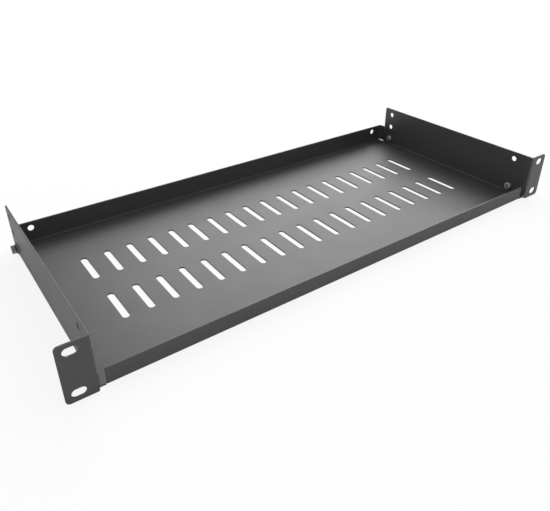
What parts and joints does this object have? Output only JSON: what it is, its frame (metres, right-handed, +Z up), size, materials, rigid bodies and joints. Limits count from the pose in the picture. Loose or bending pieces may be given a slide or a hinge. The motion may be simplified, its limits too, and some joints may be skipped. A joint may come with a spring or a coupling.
{
  "type": "rack shelf",
  "caption": "Vented rack shelf: a folded steel tray with a slotted floor, side walls, a front lip, a low back wall and slotted rack ears.",
  "frame": {"origin": "middle of the shelf's width and depth, on the underside of the floor", "axes": "+X across the rack towards the right ear seen from the front, +Y from the ears to the back wall, +Z up; the front faces -Y"},
  "size_m": [0.4826, 0.205, 0.044],
  "materials": {
    "powder_coat": "black powder coat, finely textured satin",
    "zinc": "zinc plating gone dull, a dark bluish grey"
  },
  "bodies": {
    "root": {"shelf": "powder_coat", "screws": "zinc", "flange_nuts": "zinc"}
  },
  "joints": []
}
